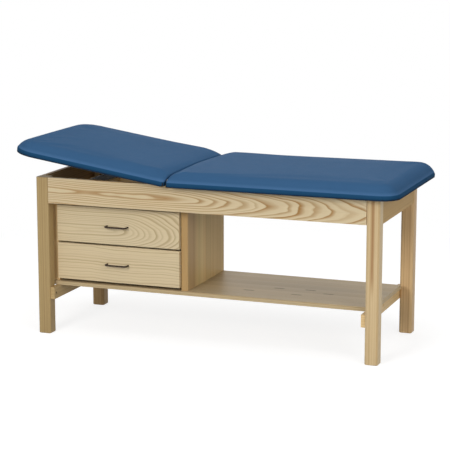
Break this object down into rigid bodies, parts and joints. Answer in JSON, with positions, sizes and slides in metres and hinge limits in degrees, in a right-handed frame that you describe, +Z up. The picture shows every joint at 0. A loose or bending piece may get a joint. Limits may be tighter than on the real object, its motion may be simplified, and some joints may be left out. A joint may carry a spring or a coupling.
{
  "type": "spa treatment bed with drawers",
  "caption": "Free-standing wooden spa treatment bed: padded top with a backrest that lifts on a notched prop, and drawers and an open shelf in the base.",
  "frame": {"origin": "on the floor, at the middle of the footprint of the whole bed in the stored pose", "axes": "+X from the head end to the foot end, -Y towards the side with the drawers, +Z up"},
  "size_m": [1.7984, 0.762, 0.8927],
  "materials": {
    "wood": "satin",
    "drawer_wood": "matte",
    "plywood": "matte",
    "vinyl": "satin",
    "dark_bronze": "satin",
    "black_steel": "satin",
    "hinge_steel": "satin",
    "zinc_steel": "satin"
  },
  "bodies": {
    "frame": {"leg_head_front": "wood", "leg_head_back": "wood", "leg_foot_front": "wood", "leg_foot_back": "wood", "front_rail": "wood", "back_rail": "wood", "head_apron": "wood", "foot_apron": "wood", "joint_rail": "wood", "middle_rail": "wood", "cabinet_rail": "wood", "corner_blocks": "wood", "rail_dowels": "wood", "frame_screws": "zinc_steel", "head_stretcher": "wood", "foot_stretcher": "wood", "stretcher_bolts": "zinc_steel", "shelf": "wood", "shelf_screws": "zinc_steel", "cabinet_side_head": "wood", "cabinet_side_foot": "wood", "cabinet_top": "wood", "cabinet_back": "drawer_wood", "cabinet_screws": "zinc_steel", "cabinet_slides": "zinc_steel", "main_board": "plywood", "main_cushion": "vinyl", "board_brackets": "zinc_steel", "hinge_leaf_main": "hinge_steel", "hinge_screws_main": "zinc_steel", "hinge_pin": "hinge_steel", "rack_front": "wood", "rack_back": "wood"},
    "backrest": {"backrest_board": "plywood", "backrest_cushion": "vinyl", "hinge_leaf_back": "hinge_steel", "hinge_screws_back": "zinc_steel", "prop_ears": "black_steel", "prop_ear_screws": "zinc_steel", "prop_pins": "black_steel"},
    "prop": {"prop_arm_front": "black_steel", "prop_arm_back": "black_steel", "prop_rod": "black_steel"},
    "upper_drawer": {"upper_drawer_front": "wood", "upper_drawer_side_head": "drawer_wood", "upper_drawer_side_foot": "drawer_wood", "upper_drawer_back": "drawer_wood", "upper_drawer_bottom": "drawer_wood", "upper_drawer_pull": "dark_bronze", "upper_drawer_pull_screws": "zinc_steel", "upper_drawer_slides": "zinc_steel"},
    "lower_drawer": {"lower_drawer_front": "wood", "lower_drawer_side_head": "drawer_wood", "lower_drawer_side_foot": "drawer_wood", "lower_drawer_back": "drawer_wood", "lower_drawer_bottom": "drawer_wood", "lower_drawer_pull": "dark_bronze", "lower_drawer_pull_screws": "zinc_steel", "lower_drawer_slides": "zinc_steel"}
  },
  "joints": [
    {"name": "backrest_tilt", "type": "hinge", "parent": "frame", "child": "backrest", "pos_m": [-0.13583, 0, 0.751], "axis": [0, 1, 0], "range_deg": [-8.6, 56.4]},
    {"name": "prop_swing", "type": "hinge", "parent": "backrest", "child": "prop", "pos_m": [-0.40719, 0, 0.74895], "axis": [0, 1, 0], "range_deg": [-112.8, 17.2]},
    {"name": "upper_drawer_slide", "type": "slide", "parent": "frame", "child": "upper_drawer", "axis": [0, -1, 0], "range_m": [0, 0.34]},
    {"name": "lower_drawer_slide", "type": "slide", "parent": "frame", "child": "lower_drawer", "axis": [0, -1, 0], "range_m": [0, 0.34]}
  ],
  "couplings": [
    {"joint": "prop_swing", "follows": "backrest_tilt", "ratio": -2}
  ]
}
